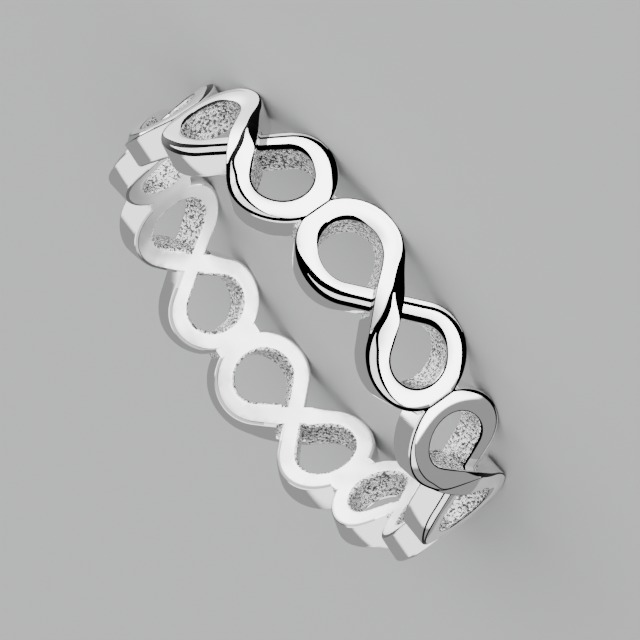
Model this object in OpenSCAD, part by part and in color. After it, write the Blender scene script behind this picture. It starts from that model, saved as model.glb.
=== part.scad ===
// Openwork finger ring: a chain of figure-of-eight links bent round one circle and cast as one piece.
// It lies on its side: the finger hole runs along Z and the middle of the band is at Z = 0.

/* [Ring] */
// Inside diameter, the finger size
inner_d = 17.3; // [14:0.1:22]
// Wall from the finger hole to the polished outer face
wall_t = 1.4; // [1:0.05:2.2]
// Number of links round the ring
link_count = 7; // [6:1:9]

/* [Link] */
// Width of the band, rim to rim
band_w = 4.2; // [3.4:0.1:4.6]
// Width of the strand that each link is drawn with
strand_w = 0.88; // [0.6:0.02:1.1]
// How far the tips of neighbouring links run into each other at the outer face
joint_lap = 0.11; // [0.04:0.01:0.3]

/* [Crossing] */
// Height of the upper strand above the outer face where the two strands cross
over_rise = 0.3; // [0.1:0.05:0.6]
// Depth of the lower strand below the outer face where the two strands cross
under_dip = 0.25; // [0.1:0.05:0.45]

/* [Hidden] */
$fn = 96;

inner_r = inner_d / 2;
outer_r = inner_r + wall_t;
link_turn = 360 / link_count;
// Which way a link's upper strand leans: every link but the last is alike, and the last is its mirror.
function lean(i) = i == link_count - 1 ? -1 : 1;

// The link's centre line: two circles joined by two straight runs that cross at the middle.
lobe_r = (band_w - strand_w) / 2;
link_reach = outer_r * sin(link_turn / 2) + joint_lap;
lobe_at = link_reach - strand_w / 2 - lobe_r;
run_angle = asin(lobe_r / lobe_at);
run_l = lobe_at * cos(run_angle);

// Height of the round outer face where a straight run meets its lobe.
run_end_x = sqrt(pow(outer_r, 2) - pow(run_l * cos(run_angle), 2));
// Radius of an arc that is a given height above or below its ends over the length of both runs.
function arc_r(height) = (pow(run_l, 2) + pow(height, 2)) / (2 * height);
over_arc_r = arc_r(outer_r + over_rise - run_end_x);
under_arc_r = arc_r(run_end_x - outer_r + under_dip);

// Turns a flat outline so that it stands across the link and runs outwards through the wall.
module through_wall() {
    rotate([90, 0, 90])
        translate([0, 0, inner_r / 2])
            linear_extrude(outer_r)
                children();
}

// The plain wall of the ring, a tube centred on Z = 0.
module tube() {
    rotate_extrude()
        translate([inner_r, -band_w])
            square([wall_t, 2 * band_w]);
}

// A circle and the two tangents drawn to it from a point on the other side of the crossing.
module drop(radius) {
    tip_x = -lobe_at * radius / lobe_r + lobe_at;
    touch_x = lobe_at - radius * sin(run_angle);
    touch_y = radius * cos(run_angle);
    translate([lobe_at, 0])
        circle(radius);
    polygon([[tip_x, 0], [touch_x, -touch_y], [touch_x, touch_y]]);
}

module both_ways() {
    for (side = [0, 180])
        rotate(side)
            children();
}

// The figure of eight seen from outside, drawn with a strand of even width.
module eight() {
    difference() {
        both_ways() drop(lobe_r + strand_w / 2);
        both_ways() drop(lobe_r - strand_w / 2);
    }
}

// The middle of the upper strand climbs over the crossing on an arc.
module over_strand(lean) {
    rotate([-lean * run_angle, 0, 0])
        intersection() {
            translate([outer_r + over_rise - over_arc_r, 0, -strand_w / 2])
                cylinder(r = over_arc_r, h = strand_w);
            translate([inner_r + wall_t / 2, -run_l, -strand_w / 2])
                cube([wall_t, 2 * run_l, strand_w]);
        }
}

// What is cut away so that the lower strand dips under the crossing on an arc.
module under_groove(lean) {
    rotate([lean * run_angle, 0, 0])
        translate([outer_r - under_dip + under_arc_r, 0, -strand_w])
            cylinder(r = under_arc_r, h = 2 * strand_w);
}

// Turns what it is given to the place of link i, counted round the ring from +X.
module at_link(i) {
    rotate([0, 0, i * link_turn])
        children();
}

// The links are cut from one wall, so that neighbours are one piece where their tips meet.
module band() {
    color("silver") {
        difference() {
            intersection() {
                tube();
                for (i = [0:link_count - 1])
                    at_link(i) through_wall() eight();
            }
            for (i = [0:link_count - 1])
                at_link(i) under_groove(lean(i));
        }
        for (i = [0:link_count - 1])
            at_link(i) over_strand(lean(i));
    }
}

band();
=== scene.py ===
import bpy
import numpy as np
from mathutils import Matrix


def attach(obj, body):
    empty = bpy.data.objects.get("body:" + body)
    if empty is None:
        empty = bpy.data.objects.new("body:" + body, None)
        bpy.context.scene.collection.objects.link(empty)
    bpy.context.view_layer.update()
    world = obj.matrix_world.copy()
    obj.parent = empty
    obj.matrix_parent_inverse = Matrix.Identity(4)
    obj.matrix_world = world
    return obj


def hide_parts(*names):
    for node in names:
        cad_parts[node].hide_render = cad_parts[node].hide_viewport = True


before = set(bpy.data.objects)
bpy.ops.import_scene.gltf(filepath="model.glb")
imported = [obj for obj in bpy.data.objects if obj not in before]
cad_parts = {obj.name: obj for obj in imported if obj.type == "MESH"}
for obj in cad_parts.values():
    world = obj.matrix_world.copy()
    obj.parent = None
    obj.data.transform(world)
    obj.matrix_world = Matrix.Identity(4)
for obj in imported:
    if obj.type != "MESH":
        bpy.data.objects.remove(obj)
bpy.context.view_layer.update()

# Camera.
# A long lens looks down on the ring from just above the rim that faces it. The picture is turned, as a
# ring is often shown, so that the finger hole's axis runs from upper right to lower left.

# The ring's outer radius and the camera's distances are in metres, and its angles in radians. The focal
# length and the place of the ring's centre are in pixels of the square picture.
outer_r = 0.01005
view_turn, view_lift, picture_roll = 0.1149, 0.3096, 4.1009
view_far = 20.838 * outer_r
nearest, farthest = 0.01, 10.0
picture_px, focal_px = 640, 5288.27
centre_px = np.array([304.04, 324.05])
sensor_mm = 36.0


def camera_axes(turn, lift, roll):
    """The camera's right, up and backward directions: backward points from the ring to the camera at
    the given turn and lift, and right and up are then rolled about it."""
    back = np.array([np.cos(lift) * np.cos(turn), np.cos(lift) * np.sin(turn), np.sin(lift)])
    level = np.array([-np.sin(turn), np.cos(turn), 0.0])
    above = np.cross(back, level)
    right = np.cos(roll) * level + np.sin(roll) * above
    up = -np.sin(roll) * level + np.cos(roll) * above
    return np.array([right, up, back])


def aim(axes, px, focal):
    """Turns the axes by the smallest rotation that brings the ring's centre from the middle of the
    picture to the pixel px."""
    ahead = np.array([0.0, 0.0, -1.0])
    middle = picture_px / 2
    seen = np.array([(px[0] - middle) / focal, (middle - px[1]) / focal, -1.0])
    seen /= np.linalg.norm(seen)
    v = np.cross(ahead, seen)
    k = np.array([[0, -v[2], v[1]], [v[2], 0, -v[0]], [-v[1], v[0], 0]])
    return (np.eye(3) + k + k @ k / (1 + ahead @ seen)) @ axes


plain_axes = camera_axes(view_turn, view_lift, picture_roll)
axes = aim(plain_axes, centre_px, focal_px)
lens = bpy.data.cameras.new("camera")
lens.sensor_width = sensor_mm
lens.lens = focal_px / picture_px * sensor_mm
lens.clip_start, lens.clip_end = nearest, farthest
camera = bpy.data.objects.new("camera", lens)
bpy.context.collection.objects.link(camera)
camera.matrix_world = Matrix.Translation(plain_axes[2] * view_far) @ Matrix(axes.T.tolist()).to_4x4()
bpy.context.scene.camera = camera

# Band.
# The ring is one casting of sterling silver: seven figure-of-eight links joined tip to tip, each drawn
# with one strand that climbs over itself. The outside is polished to a mirror, the finger hole is satin,
# and the walls inside the openings keep the grain of the casting. Dark lines are painted into the
# colour along the strand's edges, as painted reflections, and in the creases, as painted shade.

# Sizes are in metres. A link is worked out with its crossing on +X, y along the band and z along the
# finger hole. Lobe sizes are those of the strand's middle line.
inner_r = 0.00865
half_w = 0.00044
lobe_r, lobe_at = 0.00166, 0.00237
run_angle = np.arcsin(lobe_r / lobe_at)
run_l = lobe_at * np.cos(run_angle)
arc_l = lobe_r * (np.pi / 2 + run_angle)
strand_l = run_l + arc_l
# The upper strand's rise and the lower one's dip at the crossing, and the length over which they ease
# away to either side. The bridge is the stretch of the upper strand with the lower one beneath it: its
# underside lies at bridge_depth below the outer face, in fine steps. The strand's edges fall below its
# middle by the crown.
rise, dip, hump_l = 0.00025, 0.00012, 0.0030
bridge_l, bridge_depth, bridge_step = 0.00062, 0.00022, 0.00001
crown = 0.000035
# The strand is drawn in to root_r before the finger hole is cut out. The hole opens by bore_flare at the
# rims. Its edges are rounded off by edge_r in edge_steps points, sunk a little into the hole, and where
# one is painted as a dark line, a painted dark reflection, the last number gives that line's share of the
# full darkness.
root_r = 0.0060
bore_flare = 0.00012
edge_r, edge_steps, edge_sink, edge_painted_shade = 0.00015, 6, 0.000001, 0.55
# The least widths of the section's parts, the width below which a part is painted dark, the parts'
# slopes, and where along the lower and the upper strand the two wide faces change over.
rim_w, line_w, none_w = 0.000014, 0.000030, 0.0000015
thinnest_lit = 0.000010
rim_slope, strip_slope, line_slope, shy_slope = np.tan(np.radians([77.0, 38.0, 10.0, 3.0]))
lower_change, upper_change = (-0.0003, 0.0003), (-0.0009, 0.0017)
# Which parts of the strand's section swell, by how many millimetres, and over which stretch of the
# strand, in millimetres from its crossing: the columns are strand, part, width, and the places where
# the swelling starts, is full, begins to fade and is gone.
SWELLS = [
    ("upper", "edge", 0.150, -7.5, -4.6, -4.5, -3.4),
    ("upper", "first line", 0.075, -1.4, 1.0, 1.6, 3.0),
    ("upper", "first line", 0.075, -1.4, 1.0, 4.4, 6.2),
    ("upper", "strip", 0.195, 1.1, 2.0, 2.4, 4.6),
    ("upper", "second line", 0.120, -1.4, 0.7, 2.5, 4.8),
    ("upper", "flank", 0.380, -2.7, -0.7, -0.4, 0.8),
    ("upper", "flank", 0.055, 0.6, 1.4, 20.0, 21.0),
    ("upper", "spread", 0.150, -1.7, -0.1, 0.2, 3.5),
    ("lower", "edge", 0.158, -21.0, -20.0, -5.3, -3.9),
    ("lower", "first line", 0.150, -4.3, -3.0, 0.0, 0.4),
    ("lower", "first line", 0.060, -4.3, -3.0, -2.4, -1.2),
    ("lower", "strip", 0.140, -3.4, -1.9, 1.4, 3.5),
    ("lower", "second line", 0.140, -4.6, -3.2, 4.2, 5.3),
    ("lower", "second line", 0.075, 2.0, 3.4, 3.8, 5.0),
    ("lower", "flank", 0.190, -0.2, 0.5, 1.8, 3.9),
    ("lower", "flank", 0.050, 3.6, 5.0, 20.0, 21.0),
]


def figure_of_eight(s):
    """The link's centre line, from arc length s. Four equal stretches: half the upper strand on one
    lobe, its other half, and the same for the lower strand. Each is a straight run from the crossing
    and then an arc round the lobe to its tip. Gives the point, the direction of travel, the signed
    length along the strand from its crossing, and 1 on the upper strand or 0 on the lower one."""
    lap = np.mod(s, 4 * strand_l)
    upper = lap < 2 * strand_l
    along = np.where(upper, lap - strand_l, lap - 3 * strand_l)
    far = np.abs(along)
    on_arc = far > run_l
    swept = np.where(on_arc, (far - run_l) / lobe_r, 0.0)
    straight = np.minimum(far, run_l)
    # Drawn first in the quarter y > 0, z > 0 of a run that leaves the crossing at run_angle.
    centre_angle = np.pi / 2 + run_angle - swept
    y = np.where(on_arc, lobe_at + lobe_r * np.cos(centre_angle), straight * np.cos(run_angle))
    z = np.where(on_arc, lobe_r * np.sin(centre_angle), straight * np.sin(run_angle))
    ty = np.where(on_arc, np.sin(centre_angle), np.cos(run_angle))
    tz = np.where(on_arc, -np.cos(centre_angle), np.sin(run_angle))
    # The upper strand comes from y > 0, z < 0 and leaves to y < 0, z > 0; the lower one comes back
    # from y < 0, z < 0 to y > 0, z > 0.
    coming = along < 0
    sy = np.where(upper, np.where(coming, 1.0, -1.0), np.where(coming, -1.0, 1.0))
    sz = np.where(upper, np.where(coming, -1.0, 1.0), np.where(coming, -1.0, 1.0))
    travel = np.where(coming, -1.0, 1.0)
    return sy * y, sz * z, sy * ty * travel, sz * tz * travel, along, upper.astype(float)


def smooth_step(low, high, value):
    """0 below low, 1 above high, and a cubic ease between."""
    t = np.clip((value - low) / (high - low), 0.0, 1.0)
    return t * t * (3 - 2 * t)


def swollen(part, lean, upper):
    """How much one part of the section swells, in metres: the sum of its swellings, each an eased rise
    times an eased fall."""
    width = np.zeros_like(lean)
    lean_mm = lean * 1000
    for strand, name, full_mm, start, rise_end, fall_start, end in SWELLS:
        if name == part:
            ease = smooth_step(start, rise_end, lean_mm) * (1 - smooth_step(fall_start, end, lean_mm))
            width += np.where(upper == (strand == "upper"), full_mm * 0.001 * ease, 0)
    return width


def cross_section(lean, upper, facet_steps, line_share):
    """The strand's section from its edge at - to its edge at +, where lean is the length from the
    crossing, negative on the lobe whose outer edge is at +. It has a steep rim, an edge line, a first
    flat face, a line, a bright strip, a line, a second flat face, a flank and a steep rim. Away from
    the crossing only one of the faces has any width: the two lines cross over from one edge to the
    other, and that is the strand's twist. The parts painted dark swell by line_share of their full
    swelling. Heights are summed from slope times width and are 0 on the wide face. Also gives half the
    section's width, and which parts are painted dark, as painted reflections of dark surroundings: the
    edge line, the two lines and the flank, and a part while it is next to nothing."""
    same = np.ones_like(lean)
    half = half_w * same + swollen("spread", lean, upper)
    edge = line_w + line_share * swollen("edge", lean, upper)
    first_line = none_w + line_share * swollen("first line", lean, upper)
    strip = none_w + swollen("strip", lean, upper)
    second_line = none_w + line_share * swollen("second line", lean, upper)
    flank = line_w + line_share * swollen("flank", lean, upper)
    crossed = np.where(upper > 0, smooth_step(*upper_change, lean), smooth_step(*lower_change, lean))
    free = 2 * half - 2 * rim_w - edge - first_line - strip - second_line - flank - 2 * none_w
    first_step = (none_w + free * (1 - crossed)) / facet_steps * np.ones((1, facet_steps))
    second_step = (none_w + free * crossed) / facet_steps * np.ones((1, facet_steps))
    widths = np.hstack([rim_w * same, edge, first_step, first_line, strip, second_line, second_step,
                        flank, rim_w * same])
    # The lines and the strip face the side that they are nearest to, and look up on one lobe only.
    side = np.where(upper > 0, 1.0, np.sign(lean))
    steep_strip = side * np.where((upper > 0) | (lean < 0), strip_slope, shy_slope)
    fall = np.where(upper > 0, shy_slope, line_slope)
    flat = np.zeros((len(lean), facet_steps))
    slopes = np.hstack([rim_slope * same, line_slope * same, flat, side * line_slope, steep_strip,
                        side * line_slope, flat, -fall, -rim_slope * same])
    w = np.hstack([-half, -half + np.cumsum(widths, axis=1)])
    height = np.hstack([0 * same, np.cumsum(slopes * widths, axis=1)])
    first_face, second_face = 2, facet_steps + 5
    # These parts, and any part thinner than thinnest_lit, are painted dark in the colour: painted
    # reflections of dark surroundings along the strand's edges and across its twist.
    lines = [first_face - 1, first_face + facet_steps, second_face - 1, second_face + facet_steps]
    painted_dark = np.isin(np.arange(widths.shape[1]), lines) | (widths < thinnest_lit)
    wide_face = height[:, [first_face]] * (1 - crossed) + height[:, [second_face]] * crossed
    return w, height - wide_face, half, painted_dark


def bore_r(z):
    """The finger hole's radius at height z: it opens with the square of the distance from its middle."""
    return inner_r + bore_flare * (z / (half_w + lobe_r)) ** 2


def bore_edge():
    """The softened edge where a wall meets the finger hole, a quarter of a circle: how far each of its
    points is in from the wall, and how far above the hole, into which its end is sunk a little."""
    q = np.linspace(0, np.pi / 2, edge_steps)
    return edge_r * (1 - np.cos(q)), edge_r * (1 - np.sin(q)) - edge_sink


def strand_solid(stations, facet_steps, line_share):
    """A closed tube of quads: the strand's section carried along the figure of eight. The height is
    that of the ring's round outer face, plus the rise or dip of the strand, plus the section, less a
    faint crown. The walls run straight in towards the finger hole's axis. Where the upper strand
    bridges the lower one, its underside is lifted clear of it. Also gives, for each quad, how dark a
    line is painted on it, a painted reflection of dark surroundings: 1 on the outside and less on the
    softened edge of the side towards +Z; and whether the quad is a wall inside an opening."""
    s = np.linspace(0, 4 * strand_l, stations, endpoint=False)[:, None]
    y0, z0, ty, tz, along, upper = figure_of_eight(s)
    lean = along * np.where(upper > 0, 1.0, -1.0)
    w, height, half, painted_dark = cross_section(lean, upper, facet_steps, line_share)
    y = y0 - tz * w
    z = z0 + ty * w
    hump = np.cos(np.clip(along / hump_l, -1, 1) * np.pi / 2) ** 2
    lift = np.where(upper > 0, rise, -dip) * hump
    x = np.sqrt(outer_r ** 2 - y ** 2) + lift + height - crown * (w / half) ** 2
    bridge = (upper > 0) & (np.abs(along) < bridge_l)
    inset, drop = bore_edge()
    w_foot = half - np.concatenate([inset, inset[-1:]])
    above_bore = np.concatenate([drop, [root_r - inner_r]])
    under = outer_r - bridge_depth + bridge_step * np.arange(edge_steps + 1)[::-1]
    feet = []
    for side in (1, -1):
        z_foot = z0 - side * ty * w_foot
        foot_r = np.where(bridge, under, bore_r(z_foot) + above_bore)
        y_foot = (y0 + side * tz * w_foot) * foot_r / outer_r
        feet.append(np.stack([np.sqrt(foot_r ** 2 - y_foot ** 2), y_foot, z_foot], axis=-1))
    points = np.concatenate([feet[0][:, ::-1], np.stack([x, y, z], axis=-1), feet[1]], axis=1)
    rows, cols = points.shape[:2]
    i, j = np.meshgrid(np.arange(rows), np.arange(cols), indexing="ij")
    i2, j2 = (i + 1) % rows, (j + 1) % cols
    quads = np.stack([i * cols + j, i2 * cols + j, i2 * cols + j2, i * cols + j2], axis=-1)
    foot_points, soft_quads = edge_steps + 1, edge_steps // 2
    # Dark lines painted into the colour, as painted reflections of dark surroundings: full on the section's
    # dark parts, less on the softened edge towards +Z.
    lines = np.zeros(quads.shape[:2])
    lines[:, foot_points:foot_points + painted_dark.shape[1]] = painted_dark
    low_wall, high_wall = j < foot_points, (j > cols - 2 - foot_points) & (j < cols - 1)
    inner_wall = ((low_wall & (lean < 0)) | (high_wall & (lean > 0))) & ~bridge
    bore_side = (j > 0) & (j <= soft_quads) | (j > cols - 3 - soft_quads) & (j < cols - 2)
    soft_edge = bore_side & ~inner_wall & (z0 > lobe_r / 2)
    lines = np.where(soft_edge, edge_painted_shade, lines)
    return points.reshape(-1, 3), quads.reshape(-1, 4), lines.ravel(), inner_wall.ravel()


def bar_faces(n):
    """The faces of a bar whose two ends have n corners each, the second end's numbered after the
    first's: n sides and the two ends."""
    sides = [[k, (k + 1) % n, n + (k + 1) % n, n + k] for k in range(n)]
    return sides + [list(range(n))[::-1], list(range(n, 2 * n))]


# Half the width and half the length of the block under the bridge, how far its top stays below the outer
# face, and how far its softened edges are sunk into the finger hole.
block_half, block_reach, block_top, block_sink = 0.0005, 0.00076, 0.0001, 0.00001


def crossing_block():
    """The metal under the bridge: a bar between the upper strand's two walls, from inside the finger
    hole up into the strand, with the same softened edges at the hole. Its section is carried straight
    from one end to the other."""
    inset, drop = bore_edge()
    side = np.concatenate([[block_half], block_half - inset, block_half - inset[-1:]])
    x = np.concatenate([[outer_r - block_top], inner_r - block_sink + drop, [root_r]])
    w = np.concatenate([-side[::-1], side])
    x = np.concatenate([x[::-1], x])
    n = len(w)
    a = np.repeat([-block_reach, block_reach], n)
    w, x = np.tile(w, 2), np.tile(x, 2)
    y = (-a * np.cos(run_angle) + w * np.sin(run_angle)) * x / outer_r
    z = a * np.sin(run_angle) + w * np.cos(run_angle)
    return np.stack([x, y, z], axis=-1), bar_faces(n)


def joint_bar(corners, length):
    """A bar along Z with the given corners in X and Y, turned half a link on to the joint between two
    links."""
    n = len(corners)
    z = np.repeat([-length / 2, length / 2], n)
    return turned(np.c_[np.tile(corners, (2, 1)), z], 0.5), bar_faces(n)


def finger_hole_solid(segments, rings, half_length):
    """The finger hole as a closed barrel that stands out of the band at both ends: bore_r at each
    height, turned about Z."""
    t, z = np.meshgrid(np.linspace(0, 2 * np.pi, segments, endpoint=False),
                       np.linspace(-half_length, half_length, rings), indexing="xy")
    points = np.stack([bore_r(z) * np.cos(t), bore_r(z) * np.sin(t), z], axis=-1).reshape(-1, 3)
    i, j = np.meshgrid(np.arange(rings - 1), np.arange(segments), indexing="ij")
    here, there = i * segments + j, i * segments + (j + 1) % segments
    walls = np.stack([here, there, there + segments, here + segments], axis=-1).reshape(-1, 4)
    last = (rings - 1) * segments + np.arange(segments)
    return points, walls.tolist() + [np.arange(segments)[::-1].tolist(), last.tolist()]


def mesh_object(name, points, faces, **face_values):
    """Puts whole arrays of points and faces into a new object, with any named values of its faces."""
    mesh = bpy.data.meshes.new(name)
    mesh.from_pydata(points.tolist(), [], [list(f) for f in faces])
    for key, values in face_values.items():
        layer = mesh.attributes.new(key, "FLOAT", "FACE")
        layer.data.foreach_set("value", np.broadcast_to(values, len(faces)).astype(np.float32))
    mesh.update()
    made = bpy.data.objects.new(name, mesh)
    bpy.context.collection.objects.link(made)
    return made


def outward(points, faces):
    """Turns every face of a closed mesh round if its volume, a sum of one cone for each triangle, comes
    out negative."""
    fans = np.array([[f[0], f[k], f[k + 1]] for f in faces for k in range(1, len(f) - 1)])
    a, b, c = points[fans[:, 0]], points[fans[:, 1]], points[fans[:, 2]]
    volume = np.einsum("ij,ij->i", a, np.cross(b, c)).sum()
    return faces if volume > 0 else [f[::-1] for f in faces]


def combine(target, other, how):
    """Joins or cuts target with other, keeps the result as target's own mesh and deletes other."""
    step = target.modifiers.new(how.lower(), "BOOLEAN")
    step.operation, step.solver, step.object = how, "MANIFOLD", other
    made = bpy.data.meshes.new_from_object(target.evaluated_get(bpy.context.evaluated_depsgraph_get()))
    target.modifiers.clear()
    target.data = made
    bpy.data.objects.remove(other)


def turned(points, k):
    """The points turned about the finger hole by k links."""
    t = 2 * np.pi * k / len(LINK_KINDS)
    c, s = np.cos(t), np.sin(t)
    return points @ np.array([[c, -s, 0], [s, c, 0], [0, 0, 1]]).T


# For each link round the ring: 1, or -1 for the mirror image, whose other strand is on top, and the share
# of their full swelling that its painted dark lines have. Every link but the last is alike.
LINK_KINDS = [(1, 1.0)] * 6 + [(-1, 0.4)]
strand_stations, facet_steps = 400, 5
# At each joint a web of metal joins two links under the outer face: a bar along Z that lies from web_in to
# web_out away from the finger hole's axis. A crease with a sharp bottom is then cut in from outside, and
# its faces are painted fully dark, as painted shade.
web_in, web_out, web_half, web_l = 0.0084, 0.0098, 0.0002, 0.0020
web_corners = np.array([[web_in, -web_half], [web_out, -web_half], [web_out, web_half], [web_in, web_half]])
crease_depth, crease_half, crease_l = 0.0001, 0.0001, 0.0016
crease_bottom, crease_top = outer_r - crease_depth, outer_r + crease_depth
crease_corners = np.array([[crease_bottom, 0], [crease_top, crease_half], [crease_top, -crease_half]])
hole_segments, hole_rings, hole_half = 600, 21, 0.003

# The line value of the faces is how dark a line is painted into the colour: painted reflections along the
# strand's edges, and painted shade in the creases.
cast_finish = {"line": 0, "grain": 1, "satin": 0}
crease_painted_shade = {"line": 1, "grain": 0, "satin": 0}
bore_finish = {"line": 0, "grain": 0, "satin": 1}
block_points, block_faces = crossing_block()
pieces = []
for k, (mirror, line_share) in enumerate(LINK_KINDS):
    strand_points, strand_quads, dark_line, inner_wall = strand_solid(strand_stations, facet_steps,
                                                                      line_share)
    strand_finish_and_painted_lines = {"line": dark_line, "grain": inner_wall, "satin": 0}
    for name, points, faces, finish_and_painted_lines in (("link", strand_points, strand_quads, strand_finish_and_painted_lines),
                                        ("block", block_points, block_faces, cast_finish)):
        placed = turned(points * [1, mirror, 1], k)
        pieces.append(mesh_object(name, placed, outward(placed, faces), **finish_and_painted_lines))
band = pieces[0]
band.name = "band_cast"
for piece in pieces[1:]:
    combine(band, piece, "UNION")
web_points, web_faces = joint_bar(web_corners, web_l)
web_faces = outward(web_points, web_faces)
crease_points, crease_faces = joint_bar(crease_corners, crease_l)
crease_faces = outward(crease_points, crease_faces)
for k in range(len(LINK_KINDS)):
    combine(band, mesh_object("web", turned(web_points, k), web_faces, **cast_finish), "UNION")
    # The crease's faces carry painted shade in the colour.
    crease = mesh_object("crease", turned(crease_points, k), crease_faces, **crease_painted_shade)
    combine(band, crease, "DIFFERENCE")
hole_points, hole_faces = finger_hole_solid(hole_segments, hole_rings, hole_half)
combine(band, mesh_object("finger_hole", hole_points, hole_faces, **bore_finish), "DIFFERENCE")
mesh = band.data
mesh.name = "band_cast"
mesh.polygons.foreach_set("use_smooth", np.ones(len(mesh.polygons), dtype=bool))
# Faces that meet at a smaller angle than this shade as one soft surface.
soft_below = np.radians(10)
mesh.set_sharp_from_angle(angle=soft_below)

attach(band, "root")
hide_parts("band")


class Value:
    """A number on a node's output. The usual operators add Math nodes to its node tree."""

    def __init__(self, tree, socket):
        self.tree, self.socket = tree, socket

    def node(self, kind, settings, **inputs):
        """Adds a node, sets its settings and then its inputs, which are values, numbers or colours. An
        input goes by its name, or by its number as i0, i1 and so on."""
        made = self.tree.nodes.new(kind)
        for key, value in settings.items():
            setattr(made, key, value)
        for key, value in inputs.items():
            slot = made.inputs[int(key[1:])] if key[0] == "i" and key[1:].isdigit() else made.inputs[key]
            if isinstance(value, Value):
                self.tree.links.new(value.socket, slot)
            else:
                slot.default_value = value
        return made

    def math(self, operation, a, b=0.0):
        """One Math node on one or two values."""
        made = self.node("ShaderNodeMath", {"operation": operation}, i0=a, i1=b)
        return Value(self.tree, made.outputs[0])

    def __add__(self, other):
        return self.math("ADD", self, other)

    def __sub__(self, other):
        return self.math("SUBTRACT", self, other)

    def __mul__(self, other):
        return self.math("MULTIPLY", self, other)

    def __rsub__(self, other):
        return self.math("SUBTRACT", other, self)

    __radd__, __rmul__ = __add__, __mul__

    def ramp(self, low, high):
        """0 at low, 1 at high and a smooth ease between."""
        settings = {"interpolation_type": "SMOOTHSTEP"}
        made = self.node("ShaderNodeMapRange", settings, i0=self, i1=low, i2=high)
        return Value(self.tree, made.outputs[0])


silver = bpy.data.materials.new("polished_silver")
silver.use_nodes = True
shader = silver.node_tree.nodes["Principled BSDF"]
silver_nodes = Value(silver.node_tree, None)


def face_value(name):
    """The named value that the faces carry."""
    made = silver_nodes.node("ShaderNodeAttribute", {"attribute_name": name})
    return Value(silver.node_tree, made.outputs["Fac"])


def noise(cells, detail):
    """Noise in the ring's own coordinates, with the given number of cells to the metre."""
    made = silver_nodes.node("ShaderNodeTexNoise", {}, Vector=place, Scale=cells, Detail=detail,
                             Roughness=noise_roughness)
    return Value(silver.node_tree, made.outputs[0])


noise_roughness = 0.6
silver_colour = (0.94, 0.935, 0.925)
# The pits of the cast grain lie where the fine noise is between these two values, and are this dark.
pit_low, pit_high, pit_shade = 0.48, 0.57, 0.90
# Roughness of the polish, and what the cast grain and the satin add to it: a plain part, and a part that
# follows the noise.
polish_rough = 0.05
grain_rough, grain_vary = 0.12, 0.15
satin_rough, satin_vary = 0.22, 0.10
# Heights as shares of bump_depth, in metres. The polish leaves every face leaning a little up the finger
# hole's axis, so that the outside looks into the light rather than at the floor: a height that falls
# steadily with z, by polish_lean.
bump_depth = 0.00009
grain_coarse, satin_fine, satin_broad = 1.4, 0.02, 3.0
polish_lean = 0.42

line, grain, satin = face_value("line"), face_value("grain"), face_value("satin")
place = Value(silver.node_tree, silver_nodes.node("ShaderNodeTexCoord", {}).outputs["Object"])
place_parts = silver_nodes.node("ShaderNodeSeparateXYZ", {}, Vector=place)
along_bore = Value(silver.node_tree, place_parts.outputs["Z"])
fine = noise(cells=9000.0, detail=4.0)
coarse = noise(cells=2200.0, detail=3.0)
broad = noise(cells=420.0, detail=1.0)
# The line value paints dark lines into the colour, painted reflections and the painted shade of the
# creases; the pits darken the cast grain at random.
shade = 1 - line - grain * fine.ramp(pit_low, pit_high) * pit_shade
red, green, blue = (shade * part for part in silver_colour)
colour = silver_nodes.node("ShaderNodeCombineColor", {}, i0=red, i1=green, i2=blue)
silver.node_tree.links.new(colour.outputs[0], shader.inputs["Base Color"])
grain_roughness = grain * (grain_rough + fine * grain_vary)
satin_roughness = satin * (satin_rough + coarse * satin_vary)
roughness = polish_rough + grain_roughness + satin_roughness
silver.node_tree.links.new(roughness.socket, shader.inputs["Roughness"])
grain_height = grain * (fine + coarse * grain_coarse)
satin_height = satin * (fine * satin_fine + broad * satin_broad)
height = grain_height + satin_height - along_bore * (polish_lean / bump_depth)
bump = silver_nodes.node("ShaderNodeBump", {}, Height=height, Strength=1.0, Distance=bump_depth)
silver.node_tree.links.new(bump.outputs[0], shader.inputs["Normal"])
shader.inputs["Metallic"].default_value = 1.0
mesh.materials.clear()
mesh.materials.append(silver)

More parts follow.
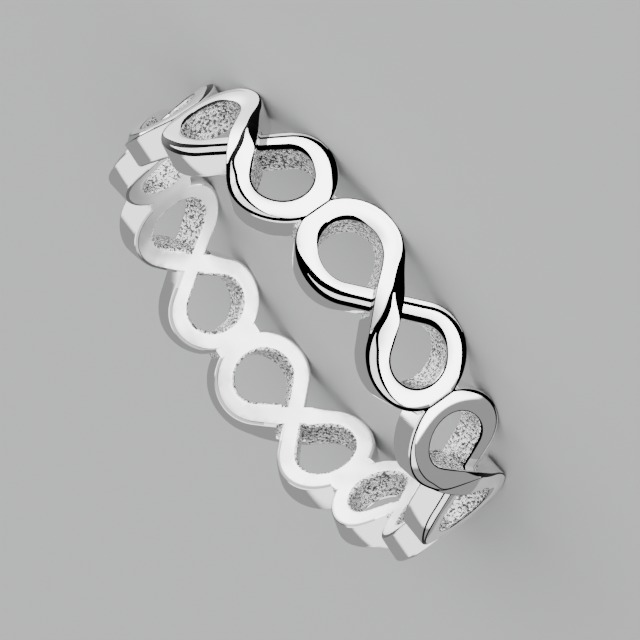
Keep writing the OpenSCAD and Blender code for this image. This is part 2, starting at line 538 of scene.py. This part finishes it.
# Floor and light.
# The ring lies on a plain matt sheet of pale grey card. A soft studio light stands round one side: a
# bright band low down, which the ring's faces reflect, and a dimmer dome above a dark gap. The other
# side is plain grey.
floor_half, floor_z = 3.0, -half_w - lobe_r
card_colour, card_roughness = (0.25, 0.25, 0.25, 1), 0.7
floor_corners = floor_half * np.array([[-1, -1, 0], [1, -1, 0], [1, 1, 0], [-1, 1, 0]]) + [0, 0, floor_z]
floor = mesh_object("floor", floor_corners, [[0, 1, 2, 3]])
sheet = bpy.data.materials.new("pale_card")
sheet.use_nodes = True
sheet_shader = sheet.node_tree.nodes["Principled BSDF"]
sheet_shader.inputs["Base Color"].default_value = card_colour
sheet_shader.inputs["Roughness"].default_value = card_roughness
floor.data.materials.append(sheet)

world = bpy.data.worlds.new("studio")
bpy.context.scene.world = world
world.use_nodes = True
sky_nodes = Value(world.node_tree, None)
direction = Value(world.node_tree, sky_nodes.node("ShaderNodeTexCoord", {}).outputs["Generated"])
direction_parts = sky_nodes.node("ShaderNodeSeparateXYZ", {}, Vector=direction)
ahead = Value(world.node_tree, direction_parts.outputs["X"])
across = Value(world.node_tree, direction_parts.outputs["Y"])
high = Value(world.node_tree, direction_parts.outputs["Z"])
lift = high.math("ARCSINE", high) * (180 / np.pi)
# The lit side is an arc about 215 degrees wide, centred at 41 degrees from +X towards +Y.
lit_middle = np.radians(41)
lit_edge, ahead_edge = (-0.31, -0.24), (0.3, 0.7)
# Where the parts of the light ease in or out, in degrees above the floor. The band is dimmer at its foot
# and fades away below the gap. The dome comes lower by side_drop where it is away from +X.
dome_start, back_dome_start, side_drop = (50, 54), (42, 48), 12
foot_end, fade_start, band_end, back_end = (2, 22), (24, 44), (43, 49), (40, 48)
foot_share, fade_share = 0.3, 0.82
dome_power, band_power, back_power, dark_power = 2.2, 7.0, 0.32, 0.03
daylight = (0.98, 0.99, 1.0, 1)

toward_light = ahead * float(np.cos(lit_middle)) + across * float(np.sin(lit_middle))
front = toward_light.ramp(*lit_edge)
sideways = 1 - ahead.ramp(*ahead_edge)
front_dome = (lift + sideways * side_drop).ramp(*dome_start) * front
dome = front_dome + lift.ramp(*back_dome_start) * (1 - front)
band_foot = foot_share + lift.ramp(*foot_end) * (1 - foot_share)
band_top = (1 - lift.ramp(*fade_start) * fade_share) * (1 - lift.ramp(*band_end))
low_band = band_foot * band_top * front
back_glow = (1 - lift.ramp(*back_end)) * (1 - front)
glow = dome * dome_power + low_band * band_power + back_glow * back_power + dark_power
background = world.node_tree.nodes["Background"]
world.node_tree.links.new(glow.socket, background.inputs["Strength"])
background.inputs["Color"].default_value = daylight
